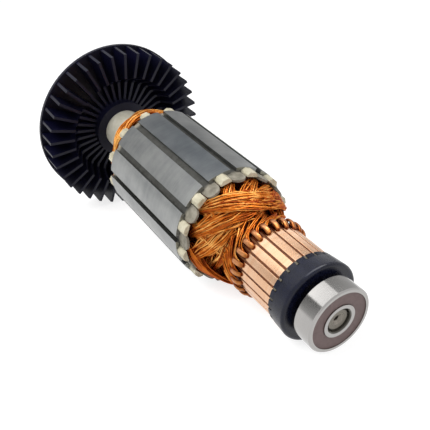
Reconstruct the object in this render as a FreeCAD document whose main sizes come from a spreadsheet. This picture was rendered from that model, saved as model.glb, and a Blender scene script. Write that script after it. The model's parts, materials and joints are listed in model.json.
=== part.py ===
import FreeCAD, Part
import math
import os

import Sketcher

# Armature of a small hand-held power tool motor.
# Every piece is drawn along the shaft: local X runs from the face of the
# commutator-end bearing towards the fan, and local Z is the piece's own middle.
# The finished armature lies on its core and on its fan.

os.makedirs("parts", exist_ok=True)
doc = FreeCAD.newDocument("motor_armature")

SIZES = [
    # ball bearing on the commutator end
    ("bearing_bore", 8.0),
    ("bearing_diameter", 22.0),
    ("bearing_width", 7.0),
    ("bearing_corner", 0.4),
    ("inner_land_diameter", 11.1),
    ("outer_land_diameter", 18.6),
    ("ball_diameter", 3.969),
    ("ball_pitch_diameter", 15.0),
    ("ball_count", 7),
    ("race_clearance", 0.05),
    ("seal_seat_diameter", 19.4),
    ("seal_seat_depth", 0.9),
    ("seal_thickness", 0.55),
    ("seal_clearance", 0.08),
    ("cage_wall", 0.9),
    ("cage_width", 4.6),
    ("pocket_clearance", 0.1),
    # shaft
    ("shaft_inset", 0.3),
    ("commutator_seat_diameter", 10.0),
    ("core_seat_diameter", 12.0),
    ("drive_journal_diameter", 10.0),
    ("drive_journal_length", 9.0),
    ("drive_end_diameter", 8.0),
    ("drive_end_length", 12.0),
    ("drive_end_chamfer", 0.6),
    ("centre_hole_diameter", 1.5),
    ("centre_hole_mouth", 3.6),
    ("centre_hole_depth", 3.4),
    # collar and commutator
    ("bearing_gap", 1.8),
    ("collar_width", 5.7),
    ("collar_front_diameter", 27.2),
    ("collar_rear_diameter", 26.2),
    ("collar_edge", 1.0),
    ("collar_recess_diameter", 20.4),
    ("collar_recess_depth", 0.8),
    ("end_ring_width", 1.9),
    ("end_ring_diameter", 25.8),
    ("notch_width", 0.8),
    ("notch_depth", 0.6),
    ("track_length", 13.1),
    ("riser_zone_length", 7.5),
    ("commutator_diameter", 25.0),
    ("bar_root_diameter", 19.0),
    ("bar_count", 24),
    ("bar_gap_angle", 3.1),
    ("hook_width", 1.9),
    ("hook_thickness", 0.7),
    ("hook_length", 5.6),
    ("hook_opening", 0.9),
    # laminated core
    ("front_overhang", 19.5),
    ("core_length", 50.0),
    ("core_diameter", 42.0),
    ("slot_count", 12),
    ("slot_opening", 2.4),
    ("slot_bottom", 10.7),
    ("slot_shoulder", 19.2),
    ("slot_throat", 19.75),
    ("tooth_width", 4.0),
    # insulation
    ("plate_thickness", 1.2),
    ("plate_rim_diameter", 22.0),
    ("tab_width", 4.1),
    ("tab_depth", 1.6),
    ("tab_corner", 1.0),
    ("tab_inset", 0.2),
    ("front_tab_height", 3.9),
    ("rear_tab_height", 3.2),
    ("liner_thickness", 0.25),
    ("liner_top", 18.4),
    ("liner_reach", 0.6),
    ("wedge_inner", 18.6),
    ("wedge_thickness", 0.85),
    ("wedge_angle", 16.0),
    ("wedge_front_reach", 5.0),
    ("wedge_rear_reach", 1.5),
    ("wedge_end_radius", 2.5),
    # windings
    ("winding_clearance", 0.05),
    ("slot_middle", 14.75),
    ("slot_exit", 0.1),
    ("bend_length", 2.0),
    ("front_layer", 2.35),
    ("front_ring", 10.1),
    ("front_strand", 3.0),
    ("front_low_post", 12.0),
    ("front_post_depth", 1.4),
    ("front_post_width", 4.6),
    ("rear_layer", 1.9),
    ("rear_ring", 11.2),
    ("rear_strand", 3.2),
    ("rear_low_post", 13.2),
    ("rear_post_depth", 1.4),
    ("rear_post_width", 5.0),
    ("post_gap", 0.1),
    # sleeves on the shaft
    ("front_sleeve_diameter", 16.8),
    ("rear_sleeve_diameter", 16.8),
    # fan
    ("rear_space", 32.5),
    ("fan_diameter", 68.2),
    ("fan_depth", 12.05),
    ("fan_disc_thickness", 1.5),
    ("fan_hub_diameter", 24.0),
    ("fan_hub_sink", 2.9),
    ("fan_hub_length", 11.0),
    ("blade_count", 37),
    ("blade_thickness", 1.1),
    ("blade_tip_diameter", 67.4),
    ("blade_shoulder_diameter", 46.8),
    ("blade_rib_diameter", 38.8),
    ("blade_rib_height", 3.4),
    ("blade_root_rise", 0.9),
    ("drive_shoulder_length", 1.0),
]

sheet = doc.addObject("Spreadsheet::Sheet", "sizes")
for row, (name, value) in enumerate(SIZES, start=1):
    sheet.set("A%d" % row, name)
    sheet.set("B%d" % row, str(value))
    sheet.setAlias("B%d" % row, name)
doc.recompute()


class Size:
    """A number together with the formula that gives it from the sheet."""

    def __init__(self, value, text):
        self.value = value
        self.text = text

    def __add__(self, other):
        other = size(other)
        return Size(self.value + other.value, "(%s + %s)" % (self.text, other.text))

    def __sub__(self, other):
        other = size(other)
        return Size(self.value - other.value, "(%s - %s)" % (self.text, other.text))

    def __mul__(self, other):
        other = size(other)
        return Size(self.value * other.value, "(%s * %s)" % (self.text, other.text))

    def __truediv__(self, other):
        other = size(other)
        return Size(self.value / other.value, "(%s / %s)" % (self.text, other.text))

    def __rsub__(self, other):
        return size(other) - self

    def __rtruediv__(self, other):
        return size(other) / self

    def __neg__(self):
        return Size(-self.value, "(-%s)" % self.text)


def size(thing):
    """A Size from the sheet's alias, from a bare number, or as it is."""
    if isinstance(thing, Size):
        return thing
    if isinstance(thing, str):
        return Size(float(sheet.get(thing)), "sizes." + thing)
    return Size(float(thing), repr(float(thing)))


def half(name):
    return size(name) / 2


def sine(angle):
    angle = size(angle)
    return Size(math.sin(math.radians(angle.value)), "sin(%s)" % angle.text)


def cosine(angle):
    angle = size(angle)
    return Size(math.cos(math.radians(angle.value)), "cos(%s)" % angle.text)


def root(number):
    number = size(number)
    return Size(math.sqrt(number.value), "sqrt(%s)" % number.text)


def tangent_angle(ring, reach):
    """Turn between a point and the place where its tangent meets a ring."""
    ring = size(ring)
    reach = size(reach)
    value = math.degrees(math.acos(ring.value / reach.value))
    return Size(value, "(acos(%s / %s) / 1 deg)" % (ring.text, reach.text))


# Stations along the shaft, measured from the bearing's front face
collar_front = size("bearing_width") + size("bearing_gap")
ring_front = collar_front + size("collar_width")
bars_front = ring_front + size("end_ring_width")
hooks_front = bars_front + size("track_length")
bars_rear = hooks_front + size("riser_zone_length")
core_front = bars_rear + size("front_overhang")
core_rear = core_front + size("core_length")
hub_front = core_rear + size("rear_space")
fan_front = hub_front - size("fan_hub_sink")
fan_rear = fan_front + size("fan_depth")
hub_rear = hub_front + size("fan_hub_length")
journal_front = hub_rear + size("drive_shoulder_length")
journal_rear = journal_front + size("drive_journal_length")
shaft_rear = journal_rear + size("drive_end_length")

slot_pitch = 360 / size("slot_count")
bar_pitch = 360 / size("bar_count")

pieces = []


def bind(thing, prop, length):
    """Set a property and tie it to the sheet."""
    length = size(length)
    thing.setExpression(prop, length.text)


def new_body(label, turn=0.0):
    """A body that will be turned about the shaft by so many degrees."""
    body = doc.addObject("PartDesign::Body", label)
    body.Label = label
    pieces.append((body, turn))
    return body


def plane_of(body, role):
    for feature in body.Origin.OriginFeatures:
        if feature.Role == role:
            return feature


def new_sketch(body, name, role, offset=None, turn=None):
    """A sketch on one of the body's planes, moved along its normal."""
    sketch = body.newObject("Sketcher::SketchObject", name)
    sketch.AttachmentSupport = [(plane_of(body, role), "")]
    sketch.MapMode = "FlatFace"
    if turn is not None:
        turned = FreeCAD.Rotation(FreeCAD.Vector(0, 0, 1), turn)
        sketch.AttachmentOffset = FreeCAD.Placement(FreeCAD.Vector(0, 0, 0), turned)
    if offset is not None:
        bind(sketch, "AttachmentOffset.Base.z", offset)
    return sketch


def place_point(sketch, edge, end, x, y, name, along_arc=False):
    """Fix one corner of a sketch by its two distances from the origin."""
    x = size(x)
    y = size(y)
    both = [("DistanceX", x, -2, "x"), ("DistanceY", y, -1, "y")]
    if along_arc:
        both = both[:1]
    for kind, length, axis, letter in both:
        if length.text == "0.0":
            sketch.addConstraint(Sketcher.Constraint("PointOnObject", edge, end, axis))
            continue
        index = sketch.addConstraint(
            Sketcher.Constraint(kind, -1, 1, edge, end, length.value))
        sketch.renameConstraint(index, letter + name)
        sketch.setExpression("Constraints." + letter + name, length.text)


def outline(body, name, role, corners, offset=None, turn=None):
    """A closed outline. A third word, arc, curves the next edge about the origin."""
    sketch = new_sketch(body, name, role, offset, turn)
    count = len(corners)
    spots = []
    for corner in corners:
        spots.append(FreeCAD.Vector(size(corner[0]).value, size(corner[1]).value, 0))
    for i in range(count):
        first = spots[i]
        last = spots[(i + 1) % count]
        if len(corners[i]) == 3:
            middle = first + last
            middle.multiply(first.Length / middle.Length)
            sketch.addGeometry(Part.Arc(first, middle, last), False)
        else:
            sketch.addGeometry(Part.LineSegment(first, last), False)
    ends = []
    for i in range(count):
        if len(corners[i]) == 3:
            start = sketch.getPoint(i, 1)
            if (start - spots[i]).Length < 1e-6:
                ends.append((1, 2))
            else:
                ends.append((2, 1))
            sketch.addConstraint(Sketcher.Constraint("Coincident", i, 3, -1, 1))
        else:
            ends.append((1, 2))
    for i in range(count):
        after = (i + 1) % count
        sketch.addConstraint(
            Sketcher.Constraint("Coincident", i, ends[i][1], after, ends[after][0]))
    for i in range(count):
        follows_arc = len(corners[i - 1]) == 3
        place_point(sketch, i, ends[i][0], corners[i][0], corners[i][1], str(i),
                    follows_arc)
    return sketch


def circle(body, name, role, x, y, radius, offset=None):
    """A sketch of one circle."""
    sketch = new_sketch(body, name, role, offset)
    radius = size(radius)
    centre = FreeCAD.Vector(size(x).value, size(y).value, 0)
    sketch.addGeometry(Part.Circle(centre, FreeCAD.Vector(0, 0, 1), radius.value), False)
    place_point(sketch, 0, 3, x, y, "c")
    index = sketch.addConstraint(Sketcher.Constraint("Radius", 0, radius.value))
    sketch.renameConstraint(index, "radius")
    sketch.setExpression("Constraints.radius", radius.text)
    return sketch


def revolve(body, sketch, angle=None, kind="PartDesign::Revolution"):
    """Turn a profile about the shaft, all round or through an angle."""
    feature = body.newObject(kind, sketch.Name + "_turned")
    feature.Profile = sketch
    feature.ReferenceAxis = (sketch, ["H_Axis"])
    feature.Angle = 360
    if angle is not None:
        feature.Midplane = True
        bind(feature, "Angle", angle)
    return feature


def pad(body, sketch, length, middle=False):
    feature = body.newObject("PartDesign::Pad", sketch.Name + "_pad")
    feature.Profile = sketch
    feature.Midplane = middle
    bind(feature, "Length", length)
    return feature


def pocket(body, sketch, length, middle=False):
    """Cut towards the sketch's normal."""
    feature = body.newObject("PartDesign::Pocket", sketch.Name + "_cut")
    feature.Profile = sketch
    feature.Midplane = middle
    feature.Reversed = not middle
    bind(feature, "Length", length)
    return feature


def repeat(body, features, count, angle=360.0):
    """Copy features round the shaft."""
    feature = body.newObject("PartDesign::PolarPattern", features[-1].Name + "_round")
    feature.Originals = features
    feature.Axis = (plane_of(body, "X_Axis"), [""])
    feature.Angle = angle
    bind(feature, "Occurrences", count)
    body.Tip = feature
    return feature


def loft(body, first, last):
    feature = body.newObject("PartDesign::AdditiveLoft", first.Name + "_loft")
    feature.Profile = first
    feature.Sections = [last]
    feature.Ruled = True
    return feature


def round_edges(body, radius, wanted, kind="PartDesign::Fillet", prop="Radius"):
    """Round or chamfer the edges of the body that the test picks."""
    doc.recompute()
    base = body.Tip
    names = []
    for number, edge in enumerate(base.Shape.Edges, start=1):
        if wanted(edge):
            names.append("Edge%d" % number)
    feature = body.newObject(kind, base.Name + "_edges")
    feature.Base = (base, names)
    bind(feature, prop, radius)
    body.Tip = feature
    return feature


def ring_at(station, radius):
    """Picks the full circle at a station with a radius."""
    def wanted(edge):
        if edge.Curve.TypeId != "Part::GeomCircle":
            return False
        same_place = abs(edge.Curve.Center.x - size(station).value) < 1e-4
        return same_place and abs(edge.Curve.Radius - size(radius).value) < 1e-4
    return wanted


# Shaft, with a centre hole in each end

hole_radius = half("centre_hole_diameter")
mouth_radius = half("centre_hole_mouth")
hole_depth = size("centre_hole_depth")
seat_step = bars_rear
body = new_body("shaft")
profile = outline(body, "shaft_profile", "XZ_Plane", [
    (size("shaft_inset") + hole_depth, 0),
    (size("shaft_inset") + hole_depth - hole_radius / 2, hole_radius),
    (size("shaft_inset") + mouth_radius - hole_radius, hole_radius),
    (size("shaft_inset"), mouth_radius),
    (size("shaft_inset"), half("bearing_bore") - size("bearing_corner")),
    (size("shaft_inset") + size("bearing_corner"), half("bearing_bore")),
    (size("bearing_width"), half("bearing_bore")),
    (size("bearing_width"), half("commutator_seat_diameter")),
    (seat_step, half("commutator_seat_diameter")),
    (seat_step, half("core_seat_diameter")),
    (journal_front, half("core_seat_diameter")),
    (journal_front, half("drive_journal_diameter")),
    (journal_rear, half("drive_journal_diameter")),
    (journal_rear, half("drive_end_diameter")),
    (shaft_rear - size("drive_end_chamfer"), half("drive_end_diameter")),
    (shaft_rear, half("drive_end_diameter") - size("drive_end_chamfer")),
    (shaft_rear, mouth_radius),
    (shaft_rear - mouth_radius + hole_radius, hole_radius),
    (shaft_rear - hole_depth + hole_radius / 2, hole_radius),
    (shaft_rear - hole_depth, 0),
])
revolve(body, profile)

# Ball bearing: two rings, seven balls in a cage, two rubber seals

race = half("ball_diameter") + size("race_clearance")
bearing_middle = half("bearing_width")
inner_land = half("inner_land_diameter")
outer_land = half("outer_land_diameter")
corner = size("bearing_corner")

body = new_body("bearing_inner_ring")
profile = outline(body, "inner_ring_profile", "XZ_Plane", [
    (corner, half("bearing_bore")),
    (0, half("bearing_bore") + corner),
    (0, inner_land),
    (size("bearing_width"), inner_land),
    (size("bearing_width"), half("bearing_bore") + corner),
    (size("bearing_width") - corner, half("bearing_bore")),
])
revolve(body, profile)
groove = circle(body, "inner_race", "XZ_Plane", bearing_middle, half("ball_pitch_diameter"), race)
revolve(body, groove, kind="PartDesign::Groove")

body = new_body("bearing_outer_ring")
seat = half("seal_seat_diameter")
seat_depth = size("seal_seat_depth")
profile = outline(body, "outer_ring_profile", "XZ_Plane", [
    (0, seat),
    (0, half("bearing_diameter") - corner),
    (corner, half("bearing_diameter")),
    (size("bearing_width") - corner, half("bearing_diameter")),
    (size("bearing_width"), half("bearing_diameter") - corner),
    (size("bearing_width"), seat),
    (size("bearing_width") - seat_depth, seat),
    (size("bearing_width") - seat_depth, outer_land),
    (seat_depth, outer_land),
    (seat_depth, seat),
])
revolve(body, profile)
groove = circle(body, "outer_race", "XZ_Plane", bearing_middle, half("ball_pitch_diameter"), race)
revolve(body, groove, kind="PartDesign::Groove")

seal_inner = inner_land + size("seal_clearance")
seal_spots = [
    ("bearing_seal_front", seat_depth - size("seal_thickness")),
    ("bearing_seal_rear", size("bearing_width") - seat_depth),
]
for label, station in seal_spots:
    body = new_body(label)
    profile = outline(body, label + "_profile", "XZ_Plane", [
        (station, seal_inner),
        (station, seat),
        (station + size("seal_thickness"), seat),
        (station + size("seal_thickness"), seal_inner),
    ])
    revolve(body, profile)

body = new_body("bearing_balls")
ball = body.newObject("PartDesign::AdditiveSphere", "ball")
ball.AttachmentSupport = [(plane_of(body, "YZ_Plane"), "")]
ball.MapMode = "FlatFace"
bind(ball, "Radius", half("ball_diameter"))
bind(ball, "AttachmentOffset.Base.y", half("ball_pitch_diameter"))
bind(ball, "AttachmentOffset.Base.z", bearing_middle)
repeat(body, [ball], "ball_count")

body = new_body("bearing_cage")
cage_inner = half("ball_pitch_diameter") - half("cage_wall")
cage_outer = half("ball_pitch_diameter") + half("cage_wall")
cage_front = bearing_middle - half("cage_width")
cage_rear = bearing_middle + half("cage_width")
profile = outline(body, "cage_profile", "XZ_Plane", [
    (cage_front, cage_inner),
    (cage_front, cage_outer),
    (cage_rear, cage_outer),
    (cage_rear, cage_inner),
])
revolve(body, profile)
hole = circle(body, "cage_pocket", "XY_Plane", bearing_middle, 0,
              half("ball_diameter") + size("pocket_clearance"))
cut = pocket(body, hole, "ball_pitch_diameter")
repeat(body, [cut], "ball_count")

# Collar between the bearing and the commutator

body = new_body("end_collar")
profile = outline(body, "collar_profile", "XZ_Plane", [
    (collar_front + size("collar_recess_depth"), half("commutator_seat_diameter")),
    (collar_front + size("collar_recess_depth"), half("collar_recess_diameter")),
    (collar_front, half("collar_recess_diameter")),
    (collar_front, half("collar_front_diameter")),
    (ring_front, half("collar_rear_diameter")),
    (ring_front, half("commutator_seat_diameter")),
])
revolve(body, profile)
round_edges(body, "collar_edge", ring_at(collar_front, half("collar_front_diameter")))

# Commutator: a moulded hub with a notched end ring, and the copper bars

body = new_body("commutator_hub", bar_pitch.value / 2)
profile = outline(body, "hub_profile", "XZ_Plane", [
    (ring_front, half("commutator_seat_diameter")),
    (ring_front, half("end_ring_diameter")),
    (bars_front, half("end_ring_diameter")),
    (bars_front, half("bar_root_diameter")),
    (bars_rear, half("bar_root_diameter")),
    (bars_rear, half("commutator_seat_diameter")),
])
revolve(body, profile)
notch_floor = half("end_ring_diameter") - size("notch_depth")
notch = outline(body, "ring_notch", "YZ_Plane", [
    (-half("notch_width"), notch_floor),
    (half("notch_width"), notch_floor),
    (half("notch_width"), half("end_ring_diameter") + size("notch_depth")),
    (-half("notch_width"), half("end_ring_diameter") + size("notch_depth")),
], offset=ring_front)
cut = pocket(body, notch, "end_ring_width")
repeat(body, [cut], "bar_count")

track = half("commutator_diameter")
hook_inner = track + size("hook_opening")
hook_outer = hook_inner + size("hook_thickness")
hook_front = bars_rear - size("hook_length")
tuck = size("hook_thickness")
for number in range(int(size("bar_count").value)):
    label = "commutator_bar_%02d" % (number + 1)
    body = new_body(label, number * bar_pitch.value)
    profile = outline(body, "bar_profile_%02d" % number, "XZ_Plane", [
        (bars_front, half("bar_root_diameter")),
        (bars_front, track),
        (bars_rear, track),
        (bars_rear, half("bar_root_diameter")),
    ])
    revolve(body, profile, bar_pitch - size("bar_gap_angle"))
    hook = outline(body, "hook_profile_%02d" % number, "XZ_Plane", [
        (bars_rear, track - tuck),
        (bars_rear, hook_outer - tuck),
        (bars_rear - tuck, hook_outer),
        (hook_front + tuck * 1.5, hook_outer),
        (hook_front, track + tuck),
        (hook_front, track - tuck),
        (hook_front + tuck, track - tuck),
        (hook_front + tuck, track + tuck / 2),
        (hook_front + tuck * 2, hook_inner),
        (bars_rear - tuck * 1.3, hook_inner),
        (bars_rear - tuck, hook_inner - tuck / 3),
        (bars_rear - tuck, track - tuck),
    ])
    pad(body, hook, "hook_width", middle=True)

# Laminated core: twelve slots between teeth of even width

tooth_angle = slot_pitch / 2
core_outer = half("core_diameter")


def slot_half(height):
    """Half the slot's width at a height: the flank runs along the tooth."""
    height = size(height)
    lean = sine(tooth_angle) / cosine(tooth_angle)
    return height * lean - half("tooth_width") / cosine(tooth_angle)


def slot_inside(height):
    """The same inside the paper that lines the slot."""
    lining = size("liner_thickness") / cosine(tooth_angle)
    return slot_half(height) - lining


body = new_body("core_stack")
profile = outline(body, "core_profile", "XZ_Plane", [
    (core_front, half("core_seat_diameter")),
    (core_front, core_outer),
    (core_rear, core_outer),
    (core_rear, half("core_seat_diameter")),
])
revolve(body, profile)
mouth = half("slot_opening")
slot = outline(body, "core_slot", "YZ_Plane", [
    (-mouth, core_outer + 1),
    (-mouth, size("slot_throat")),
    (-slot_half("slot_shoulder"), size("slot_shoulder")),
    (-slot_half("slot_bottom"), size("slot_bottom")),
    (slot_half("slot_bottom"), size("slot_bottom")),
    (slot_half("slot_shoulder"), size("slot_shoulder")),
    (mouth, size("slot_throat")),
    (mouth, core_outer + 1),
], offset=core_front)
cut = pocket(body, slot, "core_length")
repeat(body, [cut], "slot_count")

# End insulators: a plate with a finger on each tooth and a tab that holds the wire in

tab_outer = core_outer - size("tab_inset")
ends = [
    ("end_insulator_front", core_front - size("plate_thickness"),
     core_front - size("front_tab_height"), size("front_tab_height")),
    ("end_insulator_rear", core_rear, core_rear, size("rear_tab_height")),
]
for label, plate, tab, height in ends:
    body = new_body(label, tooth_angle.value)
    profile = outline(body, label + "_plate", "XZ_Plane", [
        (plate, half("core_seat_diameter")),
        (plate, half("plate_rim_diameter") - size("plate_thickness")),
        (plate + size("plate_thickness"), half("plate_rim_diameter") - size("plate_thickness")),
        (plate + size("plate_thickness"), half("core_seat_diameter")),
    ])
    revolve(body, profile)
    finger = outline(body, label + "_finger", "YZ_Plane", [
        (-half("tooth_width"), half("core_seat_diameter") + size("plate_thickness")),
        (half("tooth_width"), half("core_seat_diameter") + size("plate_thickness")),
        (half("tooth_width"), tab_outer - half("tab_depth")),
        (-half("tooth_width"), tab_outer - half("tab_depth")),
    ], offset=plate)
    finger_pad = pad(body, finger, "plate_thickness")
    tab_face = half("tab_width") - size("tab_corner")
    flap = outline(body, label + "_tab", "YZ_Plane", [
        (-half("tab_width"), tab_outer - size("tab_depth")),
        (half("tab_width"), tab_outer - size("tab_depth")),
        (half("tab_width"), tab_outer - size("tab_corner")),
        (tab_face, tab_outer),
        (-tab_face, tab_outer),
        (-half("tab_width"), tab_outer - size("tab_corner")),
    ], offset=tab)
    flap_pad = pad(body, flap, height)
    repeat(body, [finger_pad, flap_pad], "slot_count")

# Paper slot liners, open towards the wedge

body = new_body("slot_liners")
reach = size("plate_thickness") + size("liner_reach")
floor = size("slot_bottom") + size("liner_thickness")
liner_top = size("liner_top")
liner = outline(body, "liner_outline", "YZ_Plane", [
    (-slot_half("liner_top"), liner_top),
    (-slot_half("slot_bottom"), size("slot_bottom")),
    (slot_half("slot_bottom"), size("slot_bottom")),
    (slot_half("liner_top"), liner_top),
    (slot_inside("liner_top"), liner_top),
    (slot_inside(floor), floor),
    (-slot_inside(floor), floor),
    (-slot_inside("liner_top"), liner_top),
], offset=core_front - reach)
sheet_pad = pad(body, liner, size("core_length") + reach * 2)
repeat(body, [sheet_pad], "slot_count")

# Slot wedges, each with a rounded tongue beyond the core

wedge_front = core_front - size("wedge_front_reach")
wedge_rear = core_rear + size("wedge_rear_reach")
wedge_outer = size("wedge_inner") + size("wedge_thickness")


def tongue_corner(edge):
    """Picks the short radial edges at the front end of a wedge."""
    box = edge.BoundBox
    return box.XLength < 1e-4 and abs(box.XMin - wedge_front.value) < 1e-4 and (
        box.ZLength > box.YLength)


for number in range(int(size("slot_count").value)):
    label = "slot_wedge_%02d" % (number + 1)
    body = new_body(label, number * slot_pitch.value)
    profile = outline(body, "wedge_profile_%02d" % number, "XZ_Plane", [
        (wedge_front, size("wedge_inner")),
        (wedge_front, wedge_outer),
        (wedge_rear, wedge_outer),
        (wedge_rear, size("wedge_inner")),
    ])
    revolve(body, profile, "wedge_angle")
    round_edges(body, "wedge_end_radius", tongue_corner)

# Windings: six pairs of coils, laid one pair over the other
#
# A coil runs down one slot and back up the fifth slot from it. Outside the core
# it stands up as a flat post, then leads round the shaft to its other side. The
# two coils of a pair lie opposite each other and fill one layer at both ends.

span = 5
half_span = slot_pitch * (span / 2)
slack = size("winding_clearance")
exit_reach = reach + size("slot_exit")


def slot_section(body, name, low, high, turn, station):
    """The part of a slot that one coil side fills."""
    return outline(body, name, "YZ_Plane", [
        (-slot_inside(low) + slack, low),
        (slot_inside(low) - slack, low),
        (slot_inside(high) - slack, high),
        (-slot_inside(high) + slack, high),
    ], offset=station, turn=turn)


def post_section(body, name, low, depth, width, turn, station):
    """A flat bundle of wires outside the core, with its flanks along the slot's."""
    flare = depth * sine(tooth_angle) / cosine(tooth_angle)
    return outline(body, name, "YZ_Plane", [
        (-size(width) / 2, low),
        (size(width) / 2, low),
        (size(width) / 2 + flare, low + depth),
        (-size(width) / 2 - flare, low + depth),
    ], offset=station, turn=turn)


def around(radius, angle, shift=None, tangent=None):
    """A point at a radius and angle, moved out along the tangent point's radius."""
    x = -(size(radius) * sine(angle))
    y = size(radius) * cosine(angle)
    if shift is not None:
        x = x - shift * sine(tangent)
        y = y + shift * cosine(tangent)
    return x, y


def leg_reach(post_top, end):
    """How far out a leg starts, so that its corner stays under the post's top."""
    spread = size(end + "_ring") * size(end + "_strand") * 2
    under = post_top - size("post_gap")
    return (under + root(under * under - spread)) / 2


def end_turn(body, name, ring, strand, start_reach, finish_reach, station, thickness):
    """One layer outside the core: a leg, a bend round the shaft, and a leg."""
    start = -half_span
    start_touch = start + tangent_angle(ring, start_reach)
    finish_touch = half_span - tangent_angle(ring, finish_reach)
    wide = size(strand) / 2
    outside = size(ring) + wide
    inside = size(ring) - wide
    corners = [
        around(start_reach, start, wide, start_touch),
        around(outside, start_touch) + ("arc",),
        around(outside, finish_touch),
        around(finish_reach, half_span, wide, finish_touch),
        around(finish_reach, half_span, -wide, finish_touch),
        around(inside, finish_touch) + ("arc",),
        around(inside, start_touch),
        around(start_reach, start, -wide, start_touch),
    ]
    band = outline(body, name, "YZ_Plane", corners, offset=station)
    return pad(body, band, thickness)


pair_count = int(size("slot_count").value / 2)
for layer in range(pair_count):
    label = "coil_pair_%d" % (layer + 1)
    lead = half_span.value + (layer - 1) * slot_pitch.value
    body = new_body(label, lead)
    first_pair = layer == 0
    last_pair = layer == pair_count - 1
    features = []
    sides = [("start", -half_span.value, last_pair), ("finish", half_span.value, not first_pair)]
    front_station = core_front - exit_reach
    rear_station = core_rear + exit_reach
    front_layer = core_front - exit_reach - size("bend_length") - size("front_layer") * (layer + 1)
    rear_layer = core_rear + exit_reach + size("bend_length") + size("rear_layer") * layer
    reaches = []
    for side, turn, on_top in sides:
        low = floor + slack
        high = size("slot_middle") - slack
        front_low = size("front_low_post")
        rear_low = size("rear_low_post")
        front_bend = core_front - exit_reach - size("bend_length")
        rear_bend = core_rear + exit_reach + size("bend_length")
        if on_top:
            low = size("slot_middle") + slack
            high = liner_top - slack
            front_low = front_low + size("front_post_depth") + size("post_gap")
            rear_low = rear_low + size("rear_post_depth") + size("post_gap")
            front_bend = front_bend - size("front_layer") * layer
            rear_bend = rear_bend + size("rear_layer") * layer
        key = "%s_%d" % (side, layer)
        inside_slot = slot_section(body, "slot_" + key, low, high, turn, front_station)
        features.append(pad(body, inside_slot, size("core_length") + exit_reach * 2))
        front_end = slot_section(body, "front_exit_" + key, low, high, turn, front_station)
        front_post = post_section(body, "front_post_" + key, front_low, size("front_post_depth"),
                                  "front_post_width", turn, front_bend)
        features.append(loft(body, front_end, front_post))
        front_foot = post_section(body, "front_foot_" + key, front_low, size("front_post_depth"),
                                  "front_post_width", turn, front_layer)
        features.append(pad(body, front_foot, front_bend - front_layer))
        rear_end = slot_section(body, "rear_exit_" + key, low, high, turn, rear_station)
        rear_post = post_section(body, "rear_post_" + key, rear_low, size("rear_post_depth"),
                                 "rear_post_width", turn, rear_bend)
        features.append(loft(body, rear_end, rear_post))
        rear_foot = post_section(body, "rear_foot_" + key, rear_low, size("rear_post_depth"),
                                 "rear_post_width", turn, rear_bend)
        features.append(pad(body, rear_foot, rear_layer + size("rear_layer") - rear_bend))
        reaches.append((leg_reach(front_low + size("front_post_depth"), "front"),
                        leg_reach(rear_low + size("rear_post_depth"), "rear")))
    features.append(end_turn(body, "front_turn_%d" % layer, "front_ring", "front_strand",
                             reaches[0][0], reaches[1][0], front_layer, "front_layer"))
    features.append(end_turn(body, "rear_turn_%d" % layer, "rear_ring", "rear_strand",
                             reaches[0][1], reaches[1][1], rear_layer, "rear_layer"))
    repeat(body, features, 2)

# Insulating sleeves on the shaft

sleeves = [
    ("shaft_sleeve_front", bars_rear, core_front - size("plate_thickness"),
     half("front_sleeve_diameter")),
    ("shaft_sleeve_rear", core_rear + size("plate_thickness"), hub_front,
     half("rear_sleeve_diameter")),
]
for label, first, last, radius in sleeves:
    body = new_body(label)
    profile = outline(body, label + "_profile", "XZ_Plane", [
        (first, half("core_seat_diameter")),
        (first, radius),
        (last, radius),
        (last, half("core_seat_diameter")),
    ])
    revolve(body, profile)

# Fan: one moulding, with radial blades on a flat disc. Each blade stands tall out to
# the tip and falls to a low rib between its shoulder and the hub

body = new_body("fan")
disc_front = fan_rear - size("fan_disc_thickness")
profile = outline(body, "fan_profile", "XZ_Plane", [
    (hub_front, half("core_seat_diameter")),
    (hub_front, half("fan_hub_diameter")),
    (disc_front, half("fan_hub_diameter")),
    (disc_front, half("fan_diameter")),
    (fan_rear, half("fan_diameter")),
    (fan_rear, half("fan_hub_diameter")),
    (hub_rear, half("fan_hub_diameter")),
    (hub_rear, half("core_seat_diameter")),
])
revolve(body, profile)
buried = disc_front + size("fan_disc_thickness") / 2
root_radius = half("fan_hub_diameter")
shoulder = half("blade_shoulder_diameter")
rib = half("blade_rib_diameter")
rib_front = disc_front - size("blade_rib_height")
fall = rib_front - fan_front
neck = shoulder - rib
blade = outline(body, "blade_outline", "XZ_Plane", [
    (fan_front, half("blade_tip_diameter")),
    (fan_front, shoulder),
    (fan_front + fall * 0.62, rib + neck * 0.55),
    (fan_front + fall * 0.9, rib + neck * 0.28),
    (rib_front, rib),
    (rib_front - size("blade_root_rise"), root_radius),
    (rib_front - size("blade_root_rise"), root_radius - size("blade_root_rise")),
    (buried, root_radius - size("blade_root_rise")),
    (buried, half("blade_tip_diameter")),
])
blade_pad = pad(body, blade, "blade_thickness", middle=True)
repeat(body, [blade_pad], "blade_count")

# At rest the armature lies on the front end of its core and on its fan. A slot
# is at the bottom and so is a gap between blades, so it touches the ground with
# two insulator tabs, or two tooth tips, and with two blades, or the disc's rim.

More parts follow.
